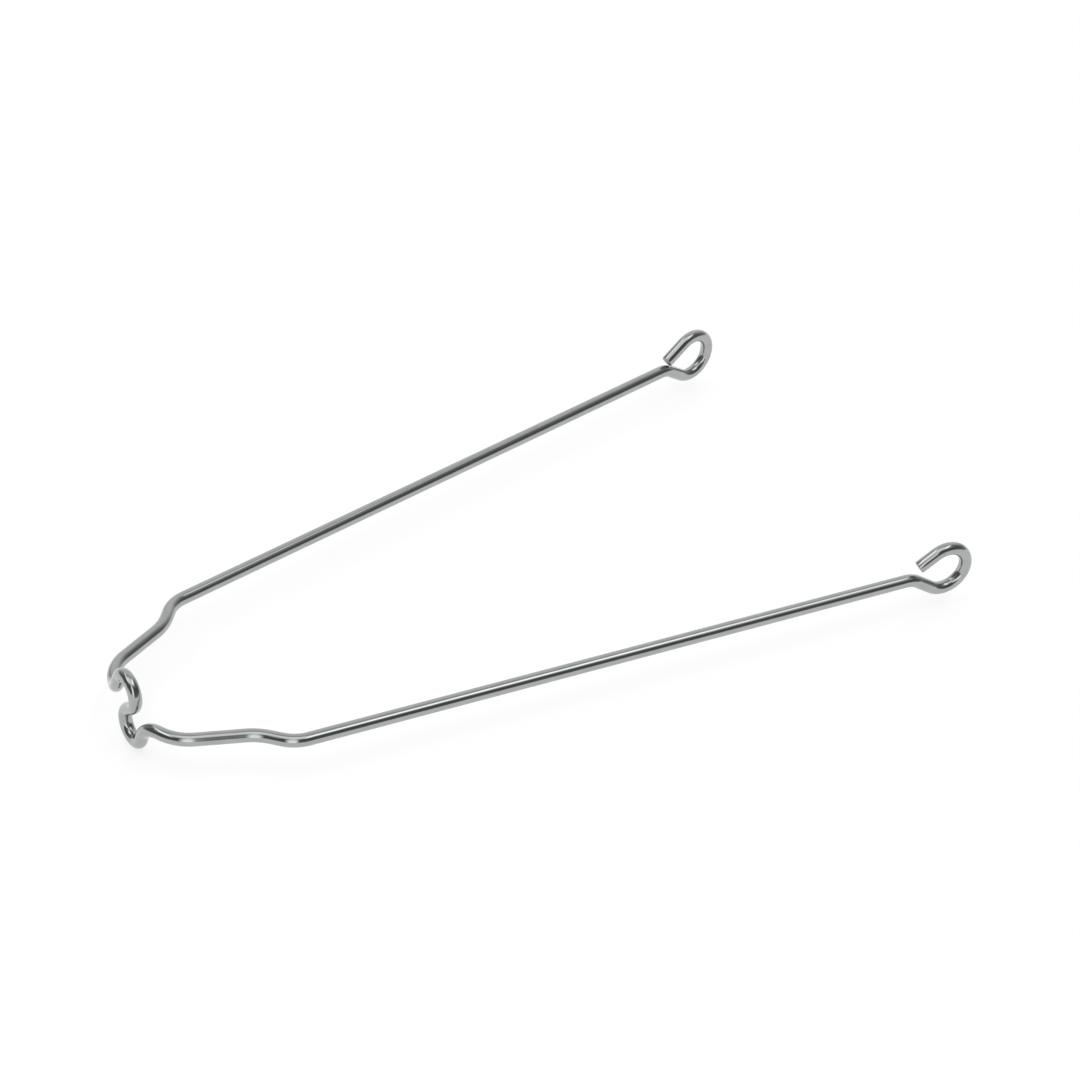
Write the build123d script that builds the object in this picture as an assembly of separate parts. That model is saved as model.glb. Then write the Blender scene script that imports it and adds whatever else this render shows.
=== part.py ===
from build123d import *
import os
from math import cos, hypot, radians, sin, tan

# A V-shaped stay bent from one round steel wire: an S-bend crown, two shoulders, two jogs,
# two long straight arms and an open eye at the end of each arm.
#
# Frame: millimetres. The origin is the middle of the crown's S-bend. +X runs from the crown to
# the eyes, +Y to the left arm and +Z up, square to the plane in which both arms lie.
# "side" is +1 for the left half (+Y) and -1 for the right half (-Y).

# ---- Driving dimensions (all to the wire's centreline) ----
WIRE_DIAMETER = 4.0

# Crown: two half-loops in the Y-Z plane, joined by a short diagonal through the origin.
DIAGONAL_ANGLE = 141.0          # of the diagonal, from the side's own outward direction
DIAGONAL_HALF_LENGTH = 2.0
LOOP_RADIUS = 5.0
LOOP_LEG_ANGLE = 68.0           # how steeply the loop's outer leg comes back to the arm plane
FOOT_RADIUS = 7.0               # the bend from that leg into the arm plane

# Shoulder and jog: corners in the arm plane, and the radius of the bend at each.
SHOULDER_CORNER = (4.2, 19.0)
SHOULDER_RADIUS = 14.0
JOG_INNER_CORNER = (25.6, 28.2)
JOG_INNER_RADIUS = 17.5
JOG_OUTER_CORNER = (33.0, 36.4)
JOG_OUTER_RADIUS = 11.0
ARM_END = (229.5, 64.7)         # where the straight arm stops and the eye's first bend starts

# Eye: the wire dips under the arm's line, rounds a ring and comes back over its own root.
DIP_RADIUS = 8.0
DIP_ANGLE = 34.0
DIP_RUN = 6.2
RING_RADIUS = 7.3
RING_WRAP = 245.0
TAIL_LENGTH = {1: 8.5, -1: 6.6}     # straight end past the ring, for each side

# Flex line: each arm springs sideways about a vertical axis at its root.
FLEX_DISTANCE = 7.6             # from the jog's outer corner, along the arm
KNUCKLE_RADIUS = 2.2            # the arm's rounded root, a little more than the wire's radius
KNUCKLE_CLEARANCE = 0.05        # radial, between that root and the hollow in the jog's end

SIDE_NAMES = {1: "left", -1: "right"}
LOOP_NAMES = {1: "crown_upper_loop", -1: "crown_lower_loop"}


# ---- Geometry helpers ----
def on_side(corner, side):
    """A corner of the arm plane, given for the left half, as a point on either half."""
    return Vector(corner[0], side * corner[1], 0)


def between(start, end, fraction):
    return start + (end - start) * fraction


def bend_setback(before, corner, after, radius):
    """How far from its corner a bend of this radius begins and ends."""
    turn = (corner - before).get_angle(after - corner)
    return radius * tan(radians(turn / 2))


def wire_along(edges):
    """The round wire swept along connected edges."""
    path = Wire(edges)
    section = Plane(origin=path @ 0, z_dir=path % 0) * Circle(WIRE_DIAMETER / 2)
    return sweep(section, path=path)


def vertical_cylinder(centre, radius):
    return Pos(centre.X, centre.Y, 0) * Cylinder(radius, 2 * WIRE_DIAMETER)


# ---- Points of one half, worked out from the driving dimensions ----
def loop_edges(side):
    """Half the diagonal and one half-loop of the crown, in the Y-Z plane."""
    plane = Plane(origin=(0, 0, 0), x_dir=(0, side, 0), z_dir=(1, 0, 0))
    heading = Vector(cos(radians(DIAGONAL_ANGLE)), sin(radians(DIAGONAL_ANGLE)))
    loop_start = heading * DIAGONAL_HALF_LENGTH
    diagonal = Line((0, 0), loop_start)
    loop = JernArc(loop_start, heading, LOOP_RADIUS, -(DIAGONAL_ANGLE + LOOP_LEG_ANGLE))
    return [(plane * diagonal).edge(), (plane * loop).edge()]


def foot_corner(side):
    """Where the loop's outer leg, carried on straight, meets the arm plane."""
    loop_end = loop_edges(side)[-1] @ 1
    sideways = abs(loop_end.Z) / tan(radians(LOOP_LEG_ANGLE))
    return loop_end + Vector(0, side * sideways, -loop_end.Z)


def foot_cut(side):
    """Middle of the short straight between the foot's bend and the shoulder's."""
    loop_end = loop_edges(side)[-1] @ 1
    foot = foot_corner(side)
    shoulder = on_side(SHOULDER_CORNER, side)
    jog = on_side(JOG_INNER_CORNER, side)
    run = (shoulder - foot).length
    bend_ends = bend_setback(loop_end, foot, shoulder, FOOT_RADIUS)
    bend_starts = run - bend_setback(foot, shoulder, jog, SHOULDER_RADIUS)
    return between(foot, shoulder, (bend_ends + bend_starts) / 2 / run)


def shoulder_cut(side):
    """Middle of the straight between the shoulder and the jog."""
    return between(on_side(SHOULDER_CORNER, side), on_side(JOG_INNER_CORNER, side), 0.5)


def arm_direction(side):
    return (on_side(ARM_END, side) - on_side(JOG_OUTER_CORNER, side)).normalized()


def flex_point(side):
    """Where the flex axis crosses the wire's centreline."""
    return on_side(JOG_OUTER_CORNER, side) + arm_direction(side) * FLEX_DISTANCE


# ---- The stretches of wire, one solid each ----
def crown_loop(side):
    """From the middle of the crown, round one half-loop and down into the arm plane."""
    edges = loop_edges(side)
    foot = FilletPolyline(edges[-1] @ 1, foot_corner(side), foot_cut(side), radius=[FOOT_RADIUS])
    return wire_along(edges + foot.edges())


def shoulder(side):
    corner = on_side(SHOULDER_CORNER, side)
    path = FilletPolyline(foot_cut(side), corner, shoulder_cut(side), radius=[SHOULDER_RADIUS])
    return wire_along(path.edges())


def jog(side):
    """The sideways step before the arm, with a hollow end for the arm's root."""
    corners = [on_side(JOG_INNER_CORNER, side), on_side(JOG_OUTER_CORNER, side)]
    radii = [JOG_INNER_RADIUS, JOG_OUTER_RADIUS]
    path = FilletPolyline(shoulder_cut(side), *corners, flex_point(side), radius=radii)
    hollow = vertical_cylinder(flex_point(side), KNUCKLE_RADIUS + KNUCKLE_CLEARANCE)
    return wire_along(path.edges()) - hollow


def arm(side):
    """The straight arm, rounded about the flex axis at its root."""
    flex = flex_point(side)
    root_start = flex - arm_direction(side) * (KNUCKLE_RADIUS + 1)
    root = wire_along([Line(root_start, flex).edge()]) & vertical_cylinder(flex, KNUCKLE_RADIUS)
    straight = wire_along([Line(flex, on_side(ARM_END, side)).edge()])
    return straight + root


def eye(side):
    """The dip, the ring and the straight tail, in the upright plane of the arm."""
    direction = arm_direction(side)
    plane = Plane(origin=on_side(ARM_END, side), x_dir=direction, z_dir=direction.cross(Vector(0, 0, 1)))
    dip = JernArc((0, 0), (1, 0), DIP_RADIUS, -DIP_ANGLE)
    dip_end = (dip @ 1) + (dip % 1) * DIP_RUN
    dip_run = Line(dip @ 1, dip_end)
    ring = JernArc(dip_end, dip % 1, RING_RADIUS, RING_WRAP)
    tail = Line(ring @ 1, (ring @ 1) + (ring % 1) * TAIL_LENGTH[side])
    return wire_along([(plane * piece).edge() for piece in (dip, dip_run, ring, tail)])


# ---- One file for each stretch ----
os.makedirs("parts", exist_ok=True)
for side, side_name in SIDE_NAMES.items():
    stretches = {
        LOOP_NAMES[side]: crown_loop(side),
        f"{side_name}_shoulder": shoulder(side),
        f"{side_name}_jog": jog(side),
        f"{side_name}_arm": arm(side),
        f"{side_name}_eye": eye(side),
    }
    for name, solid in stretches.items():
        solid.label = name
        export_step(solid, f"parts/{name}.step")
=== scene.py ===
from math import ceil, cos, pi, radians, sin, tan

import bpy
from mathutils import Matrix, Vector


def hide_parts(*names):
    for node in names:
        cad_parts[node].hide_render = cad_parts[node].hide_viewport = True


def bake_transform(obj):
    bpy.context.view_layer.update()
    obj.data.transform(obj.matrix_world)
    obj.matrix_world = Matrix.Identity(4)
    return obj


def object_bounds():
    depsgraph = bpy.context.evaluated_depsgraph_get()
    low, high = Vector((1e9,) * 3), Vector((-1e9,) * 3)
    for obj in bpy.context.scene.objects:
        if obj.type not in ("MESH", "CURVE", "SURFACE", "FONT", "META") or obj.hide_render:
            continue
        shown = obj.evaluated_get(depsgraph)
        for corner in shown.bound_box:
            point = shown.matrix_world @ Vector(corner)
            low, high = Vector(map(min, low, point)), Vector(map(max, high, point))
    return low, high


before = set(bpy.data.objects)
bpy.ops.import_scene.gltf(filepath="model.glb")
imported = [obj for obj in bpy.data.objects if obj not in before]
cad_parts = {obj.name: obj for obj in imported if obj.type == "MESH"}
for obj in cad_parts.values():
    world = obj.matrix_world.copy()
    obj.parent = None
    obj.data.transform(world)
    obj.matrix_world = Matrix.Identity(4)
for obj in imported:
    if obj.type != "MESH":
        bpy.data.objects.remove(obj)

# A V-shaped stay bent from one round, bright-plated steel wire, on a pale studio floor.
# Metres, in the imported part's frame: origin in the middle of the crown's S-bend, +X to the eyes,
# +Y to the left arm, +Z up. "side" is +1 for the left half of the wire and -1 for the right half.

CAD_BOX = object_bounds()

# ---- The wire's dimensions, as in the CAD part ----
WIRE_RADIUS = 0.002

DIAGONAL_ANGLE = 141.0
DIAGONAL_HALF_LENGTH = 0.002
LOOP_RADIUS = 0.005
LOOP_LEG_ANGLE = 68.0
FOOT_RADIUS = 0.007

SHOULDER_CORNER = (0.0042, 0.0190)
SHOULDER_RADIUS = 0.014
JOG_INNER_CORNER = (0.0256, 0.0282)
JOG_INNER_RADIUS = 0.0175
JOG_OUTER_CORNER = (0.0330, 0.0364)
JOG_OUTER_RADIUS = 0.011
ARM_END = (0.2295, 0.0647)

DIP_RADIUS = 0.008
DIP_ANGLE = 34.0
DIP_RUN = 0.0062
RING_RADIUS = 0.0073
RING_WRAP = 245.0
TAIL_LENGTH = {1: 0.0085, -1: 0.0066}

# ---- How finely the wire is meshed, and its small imperfections ----
SIDES_ROUND = 40
STRAIGHT_STEP = 0.0025
BEND_STEP = 3.0                 # degrees
FLATTENING = 0.05               # share of wire radius / bend radius lost across a bend
END_ROUNDING = 0.00022          # the sheared end's dulled edge
END_ROUNDING_STEPS = 4

X_AXIS = Vector((1, 0, 0))
Z_AXIS = Vector((0, 0, 1))
SIDE_NAMES = {1: "left", -1: "right"}
LOOP_NAMES = {1: "crown_upper_loop", -1: "crown_lower_loop"}


# ---- Centreline ----
class Station:
    """One place on the wire's centreline."""

    def __init__(self, point, heading, across, curl=None, tightness=0.0):
        self.point = point
        self.heading = heading
        self.across = across            # carried along without twist
        self.curl = curl                # direction to the centre of the bend, if in one
        self.tightness = tightness      # wire radius over bend radius


def straight(path, length):
    """Carries the wire straight on."""
    last = path[-1]
    count = max(1, ceil(length / STRAIGHT_STEP))
    for step in range(1, count + 1):
        path.append(Station(last.point + last.heading * length * step / count, last.heading, last.across))


def bend(path, radius, degrees, axis):
    """Carries the wire round a bend about this axis, counter-clockwise if degrees is positive."""
    last = path[-1]
    inward = axis.cross(last.heading).normalized() * (1 if degrees > 0 else -1)
    centre = last.point + inward * radius
    count = ceil(abs(degrees) / BEND_STEP)
    for step in range(1, count + 1):
        turn = Matrix.Rotation(radians(degrees) * step / count, 3, axis)
        path.append(
            Station(
                centre + turn @ (last.point - centre),
                turn @ last.heading,
                turn @ last.across,
                turn @ inward,
                WIRE_RADIUS / radius * sin(pi * step / (count + 1)) ** 0.5,
            )
        )


def corner(path, at, after, radius):
    """Carries the wire straight towards a corner and round it towards the next one."""
    last = path[-1]
    leaving = (after - at).normalized()
    turn = last.heading.angle(leaving)
    straight(path, (at - last.point).length - radius * tan(turn / 2))
    bend(path, radius, turn * 180 / pi, last.heading.cross(leaving).normalized())


def on_side(place, side):
    return Vector((place[0], side * place[1], 0))


def half_wire(side):
    """The centreline of one half, from the middle of the crown to the end of the tail."""
    diagonal = radians(DIAGONAL_ANGLE)
    heading = Vector((0, side * cos(diagonal), side * sin(diagonal)))
    path = [Station(Vector((0, 0, 0)), heading, X_AXIS.copy())]
    straight(path, DIAGONAL_HALF_LENGTH)
    bend(path, LOOP_RADIUS, -(DIAGONAL_ANGLE + LOOP_LEG_ANGLE), X_AXIS)

    leg = path[-1]
    foot = leg.point + leg.heading * (abs(leg.point.z) / sin(radians(LOOP_LEG_ANGLE)))
    corners = (SHOULDER_CORNER, JOG_INNER_CORNER, JOG_OUTER_CORNER, ARM_END)
    stops = [on_side(place, side) for place in corners]
    radii = [FOOT_RADIUS, SHOULDER_RADIUS, JOG_INNER_RADIUS, JOG_OUTER_RADIUS]
    for at, after, radius in zip([foot] + stops[:-1], stops, radii):
        corner(path, at, after, radius)
    straight(path, (stops[-1] - path[-1].point).length)

    upright = path[-1].heading.cross(Z_AXIS).normalized()
    bend(path, DIP_RADIUS, -DIP_ANGLE, upright)
    straight(path, DIP_RUN)
    bend(path, RING_RADIUS, RING_WRAP, upright)
    straight(path, TAIL_LENGTH[side] - END_ROUNDING)
    return path


# ---- Mesh ----
def section(station, shrink=0.0):
    """The wire's outline at one station: round, and slightly flattened across a bend."""
    beside = station.heading.cross(station.across)
    outline = []
    for index in range(SIDES_ROUND):
        angle = 2 * pi * index / SIDES_ROUND
        outward = station.across * cos(angle) + beside * sin(angle)
        radius = WIRE_RADIUS - shrink
        if station.curl is not None:
            radius *= 1 - FLATTENING * station.tightness * outward.dot(station.curl) ** 2
        outline.append(station.point + outward * radius)
    return outline


def rounded_end(last):
    """The sections that round over the sheared end's edge."""
    for step in range(1, END_ROUNDING_STEPS + 1):
        angle = pi / 2 * step / END_ROUNDING_STEPS
        place = Station(last.point + last.heading * END_ROUNDING * sin(angle), last.heading, last.across)
        yield place, END_ROUNDING * (1 - cos(angle))


def wire_mesh(name, path):
    """The skin of the wire along the path, with its places on the unbent wire as attributes."""
    places = [(station, 0.0) for station in path] + list(rounded_end(path[-1]))
    vertices = []
    unbent = []
    bending = []
    along = 0.0
    before = places[0][0].point
    for station, shrink in places:
        along += (station.point - before).length
        before = station.point
        vertices += section(station, shrink)
        for index in range(SIDES_ROUND):
            angle = 2 * pi * index / SIDES_ROUND
            unbent.append((WIRE_RADIUS * cos(angle), WIRE_RADIUS * sin(angle), along))
            bending.append(station.tightness)

    faces = []
    for ring in range(len(places) - 1):
        for index in range(SIDES_ROUND):
            following = (index + 1) % SIDES_ROUND
            here = ring * SIDES_ROUND
            there = here + SIDES_ROUND
            faces.append((here + index, here + following, there + following, there + index))
    faces.append(tuple(range(SIDES_ROUND))[::-1])
    faces.append(tuple(range(len(vertices) - SIDES_ROUND, len(vertices))))

    mesh = bpy.data.meshes.new(name)
    mesh.from_pydata(vertices, [], faces)
    mesh.attributes.new("unbent", "FLOAT_VECTOR", "POINT").data.foreach_set(
        "vector", [value for place in unbent for value in place]
    )
    mesh.attributes.new("bending", "FLOAT", "POINT").data.foreach_set("value", bending)
    unwrap(mesh, unbent, along)
    mesh.polygons.foreach_set("use_smooth", [True] * len(mesh.polygons))
    sharpen_ends(mesh)
    mesh.polygons[len(faces) - 1].material_index = 1
    return mesh


SKIN_SHARE = 0.9                            # of the unwrapping's height
END_PLACES = ((0.2, 0.95), (0.6, 0.95))     # where its two flat ends are laid
END_SCALE = 10                              # their size there, per metre


def unwrap(mesh, unbent, length):
    """U runs along the wire and V round it; the two flat ends lie flat beside it."""
    layer = mesh.uv_layers.new(name="UVMap")
    skin = len(mesh.polygons) - 2
    for polygon in mesh.polygons:
        for corner_index, loop in enumerate(polygon.loop_indices):
            x, y, along = unbent[mesh.loops[loop].vertex_index]
            if polygon.index < skin:
                turn = (polygon.index % SIDES_ROUND + (corner_index in (1, 2))) / SIDES_ROUND
                layer.data[loop].uv = (along / length, SKIN_SHARE * turn)
            else:
                middle = END_PLACES[polygon.index - skin]
                layer.data[loop].uv = (middle[0] + END_SCALE * x, middle[1] + END_SCALE * y)


def sharpen_ends(mesh):
    """The flat faces at the two ends keep a crisp edge."""
    rims = set()
    for polygon in mesh.polygons[-2:]:
        rims.update(tuple(sorted(key)) for key in polygon.edge_keys)
    for edge in mesh.edges:
        if tuple(sorted(edge.vertices)) in rims:
            edge.use_edge_sharp = True


# ---- Materials ----
# Noise patterns: how many cells per metre across the unbent wire, twice, and along it.
DRAWN_LINES = (2600, 2600, 26)
MOTTLE = (420, 420, 180)
TOOL_MARKS = (330, 330, 300)
HANDLING_WEAR = (900, 900, 60)
SHEAR_SCORES = (5200, 500, 500)
SHEAR_GRAIN = (1800, 1800, 1800)

PLATING_DARK = (0.372, 0.388, 0.384)
PLATING_LIGHT = (0.412, 0.427, 0.423)
WORN_COLOUR = (0.36, 0.365, 0.36)
SHEARED_DARK = (0.27, 0.265, 0.255)
SHEARED_LIGHT = (0.42, 0.415, 0.405)

PLATING_ROUGHNESS = (0.05, 0.09)
LINE_ROUGHNESS = 0.04           # added where the drawn lines are
WORN_ROUGHNESS = 0.25           # added where the plating is fully worn
SHEARED_ROUGHNESS = (0.32, 0.5)

LINE_DEPTH = 0.000012
TOOL_MARK_DEPTH = 0.00035
SCORE_DEPTH = 0.00005


def node(tree, kind, **settings):
    made = tree.nodes.new(kind)
    for key, value in settings.items():
        setattr(made, key, value)
    return made


def noise(tree, coordinates, stretch, detail, roughness=0.5):
    """Noise in the unbent wire's coordinates, with this many cells per metre across and along."""
    mapping = node(tree, "ShaderNodeMapping")
    mapping.inputs["Scale"].default_value = stretch
    tree.links.new(coordinates, mapping.inputs["Vector"])
    made = node(tree, "ShaderNodeTexNoise")
    made.inputs["Scale"].default_value = 1.0
    made.inputs["Detail"].default_value = detail
    made.inputs["Roughness"].default_value = roughness
    tree.links.new(mapping.outputs["Vector"], made.inputs["Vector"])
    return made.outputs["Fac"]


def ramp(tree, source, low, high, to_low, to_high):
    made = node(tree, "ShaderNodeMapRange", interpolation_type="SMOOTHSTEP")
    for name, value in zip(("From Min", "From Max", "To Min", "To Max"), (low, high, to_low, to_high)):
        made.inputs[name].default_value = value
    tree.links.new(source, made.inputs["Value"])
    return made.outputs["Result"]


def arithmetic(tree, operation, first, second):
    made = node(tree, "ShaderNodeMath", operation=operation)
    for socket, value in zip(made.inputs, (first, second)):
        if isinstance(value, (int, float)):
            socket.default_value = value
        else:
            tree.links.new(value, socket)
    return made.outputs["Value"]


def tint(tree, factor, dark, light):
    made = node(tree, "ShaderNodeMix", data_type="RGBA")
    made.inputs["A"].default_value = (*dark, 1)
    made.inputs["B"].default_value = (*light, 1)
    tree.links.new(factor, made.inputs["Factor"])
    return made


def bump(tree, height, distance, strength, under=None):
    made = node(tree, "ShaderNodeBump")
    made.inputs["Distance"].default_value = distance
    made.inputs["Strength"].default_value = strength
    tree.links.new(height, made.inputs["Height"])
    if under is not None:
        tree.links.new(under, made.inputs["Normal"])
    return made.outputs["Normal"]


def plated_wire():
    """Bright plating on drawn steel wire: fine lines along it, soft tool marks where it was bent."""
    material = bpy.data.materials.new("bright_plated_wire")
    material.use_nodes = True
    tree = material.node_tree
    shader = tree.nodes["Principled BSDF"]
    shader.inputs["Metallic"].default_value = 1.0

    unbent = node(tree, "ShaderNodeAttribute", attribute_name="unbent").outputs["Vector"]
    bending = node(tree, "ShaderNodeAttribute", attribute_name="bending").outputs["Fac"]
    lines = noise(tree, unbent, DRAWN_LINES, 3.0)
    mottle = noise(tree, unbent, MOTTLE, 4.0, 0.6)
    marks = noise(tree, unbent, TOOL_MARKS, 2.0)
    handling = noise(tree, unbent, HANDLING_WEAR, 5.0, 0.65)

    plating = tint(tree, ramp(tree, mottle, 0.3, 0.7, 0, 1), PLATING_DARK, PLATING_LIGHT)
    worn = ramp(tree, handling, 0.62, 0.78, 0.0, 0.35)
    colour = tint(tree, worn, PLATING_DARK, WORN_COLOUR)
    tree.links.new(plating.outputs["Result"], colour.inputs["A"])
    tree.links.new(colour.outputs["Result"], shader.inputs["Base Color"])

    mottled = ramp(tree, mottle, 0.3, 0.75, *PLATING_ROUGHNESS)
    lined = ramp(tree, lines, 0.35, 0.7, 0, LINE_ROUGHNESS)
    roughness = arithmetic(tree, "ADD", mottled, lined)
    roughness = arithmetic(tree, "ADD", roughness, arithmetic(tree, "MULTIPLY", worn, WORN_ROUGHNESS))
    tree.links.new(roughness, shader.inputs["Roughness"])

    drawn = bump(tree, lines, LINE_DEPTH, 0.5)
    dented = arithmetic(tree, "MULTIPLY", marks, ramp(tree, bending, 0.1, 0.35, 0, 1))
    tree.links.new(bump(tree, dented, TOOL_MARK_DEPTH, 0.5, drawn), shader.inputs["Normal"])
    return material


def sheared_steel():
    """The cut end: bare, dull, with the shear's fine parallel scores."""
    material = bpy.data.materials.new("sheared_steel")
    material.use_nodes = True
    tree = material.node_tree
    shader = tree.nodes["Principled BSDF"]
    shader.inputs["Metallic"].default_value = 1.0
    unbent = node(tree, "ShaderNodeAttribute", attribute_name="unbent").outputs["Vector"]
    scores = noise(tree, unbent, SHEAR_SCORES, 3.0)
    grain = noise(tree, unbent, SHEAR_GRAIN, 4.0)
    colour = tint(tree, grain, SHEARED_DARK, SHEARED_LIGHT)
    tree.links.new(colour.outputs["Result"], shader.inputs["Base Color"])
    tree.links.new(ramp(tree, grain, 0.3, 0.7, *SHEARED_ROUGHNESS), shader.inputs["Roughness"])
    tree.links.new(bump(tree, scores, SCORE_DEPTH, 0.6), shader.inputs["Normal"])
    return material


# ---- The wire ----
def build_wire():
    materials = [plated_wire(), sheared_steel()]
    for side, side_name in SIDE_NAMES.items():
        name = f"{side_name}_half_of_wire"
        path = half_wire(side)
        piece = bpy.data.objects.new(name, wire_mesh(name, path))
        bpy.context.scene.collection.objects.link(piece)
        for material in materials:
            piece.data.materials.append(material)
        stretches = [f"{side_name}_{part}" for part in ("shoulder", "jog", "arm", "eye")]
        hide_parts(LOOP_NAMES[side], *stretches)
        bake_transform(piece)


# ---- The view ----
VIEW_AZIMUTH = 35.46            # degrees from +Y towards +X, of the direction the camera looks in
VIEW_ELEVATION = 37.0
VIEW_ROLL = 3.38
VIEW_DISTANCE = 0.9889
LENS = 107.8
SENSOR = 36.0
AIM_FROM_MIDDLE = Vector((0.01947, 0.00804, 0))     # from the middle of the part's box


# ---- Studio ----
FLOOR_HALF_SIZE = 4.0
FLOOR_COLOUR = (0.36, 0.36, 0.36, 1)
FLOOR_GLOW = 0.75

# Softboxes round the object. Azimuth of the middle (clockwise from the way the camera looks), its
# elevation, half-width and half-height, all in degrees, and brightness.
SOFTBOXES = {
    "overhead": (180, 80, 35, 20, 1.2),
    "right_strip": (90, 65, 20, 5, 1.5),
    "left_strip": (-90, 60, 30, 5, 1.5),
    "panel_by_the_camera": (180, 20, 12, 35, 1.5),
    "far_wall": (0, 25, 45, 45, 0.8),
}
SOFTBOX_EDGE = 0.5              # how soft a softbox's edge is, as a share of its half-size
SURROUND = 0.12
HAZE = 0.22                     # added at the horizon, fading out upwards
HAZE_TOP = 0.3
PLAIN_WHITE = (1.0, 1.0, 1.0)


def towards(azimuth, elevation):
    level = cos(radians(elevation))
    return Vector((sin(radians(azimuth)) * level, cos(radians(azimuth)) * level, sin(radians(elevation))))


def along_axis(tree, direction, axis):
    made = node(tree, "ShaderNodeVectorMath", operation="DOT_PRODUCT")
    made.inputs[1].default_value = axis
    tree.links.new(direction, made.inputs[0])
    return made.outputs["Value"]


def softbox(tree, direction, azimuth, elevation, half_width, half_height, brightness):
    """An oval soft light in one direction of the room."""
    middle = towards(VIEW_AZIMUTH + azimuth, elevation)
    level = Vector((middle.y, -middle.x, 0)).normalized()
    spread = node(tree, "ShaderNodeCombineXYZ")
    sideways = along_axis(tree, direction, level / sin(radians(half_width)))
    upwards = along_axis(tree, direction, level.cross(middle) / sin(radians(half_height)))
    tree.links.new(sideways, spread.inputs["X"])
    tree.links.new(upwards, spread.inputs["Y"])
    distance = node(tree, "ShaderNodeVectorMath", operation="LENGTH")
    tree.links.new(spread.outputs["Vector"], distance.inputs[0])
    glow = ramp(tree, distance.outputs["Value"], 1 - SOFTBOX_EDGE, 1 + SOFTBOX_EDGE, brightness, 0)
    in_front = arithmetic(tree, "GREATER_THAN", along_axis(tree, direction, middle), 0.0)
    return arithmetic(tree, "MULTIPLY", glow, in_front)


def build_surround():
    """A dim room with softboxes; where the camera looks past the floor it sees plain white."""
    world = bpy.data.worlds.new("studio")
    bpy.context.scene.world = world
    world.use_nodes = True
    tree = world.node_tree
    direction = node(tree, "ShaderNodeTexCoord").outputs["Generated"]
    total = ramp(tree, along_axis(tree, direction, Z_AXIS), 0, HAZE_TOP, SURROUND + HAZE, SURROUND)
    for box in SOFTBOXES.values():
        total = arithmetic(tree, "ADD", total, softbox(tree, direction, *box))
    seen = node(tree, "ShaderNodeLightPath").outputs["Is Camera Ray"]
    colour = tint(tree, seen, (0, 0, 0), PLAIN_WHITE)
    tree.links.new(total, colour.inputs["A"])
    tree.links.new(colour.outputs["Result"], tree.nodes["Background"].inputs["Color"])


def build_floor():
    low = CAD_BOX[0][2]
    mesh = bpy.data.meshes.new("floor")
    reach = FLOOR_HALF_SIZE
    signs = ((-1, -1), (1, -1), (1, 1), (-1, 1))
    corners = [(reach * x, reach * y, low) for x, y in signs]
    mesh.from_pydata(corners, [], [(0, 1, 2, 3)])
    floor = bpy.data.objects.new("floor", mesh)
    bpy.context.scene.collection.objects.link(floor)
    material = bpy.data.materials.new("pale_floor")
    material.use_nodes = True
    shader = material.node_tree.nodes["Principled BSDF"]
    shader.inputs["Base Color"].default_value = FLOOR_COLOUR
    shader.inputs["Roughness"].default_value = 0.9
    shader.inputs["Specular IOR Level"].default_value = 0.0
    shader.inputs["Emission Color"].default_value = (1, 1, 1, 1)
    shader.inputs["Emission Strength"].default_value = FLOOR_GLOW
    mesh.materials.append(material)


# ---- Camera ----
def build_camera():
    middle = (Vector(CAD_BOX[0]) + Vector(CAD_BOX[1])) / 2
    back = -towards(VIEW_AZIMUTH, -VIEW_ELEVATION)
    camera = bpy.data.objects.new("camera", bpy.data.cameras.new("camera"))
    bpy.context.scene.collection.objects.link(camera)
    camera.data.lens = LENS
    camera.data.sensor_width = SENSOR
    level = back.to_track_quat("Z", "Y")
    camera.rotation_mode = "QUATERNION"
    camera.rotation_quaternion = level @ Matrix.Rotation(radians(VIEW_ROLL), 3, "Z").to_quaternion()
    camera.location = middle + AIM_FROM_MIDDLE + back * VIEW_DISTANCE
    bpy.context.scene.camera = camera


bpy.context.scene.view_settings.view_transform = "Standard"
build_wire()
build_floor()
build_surround()
build_camera()
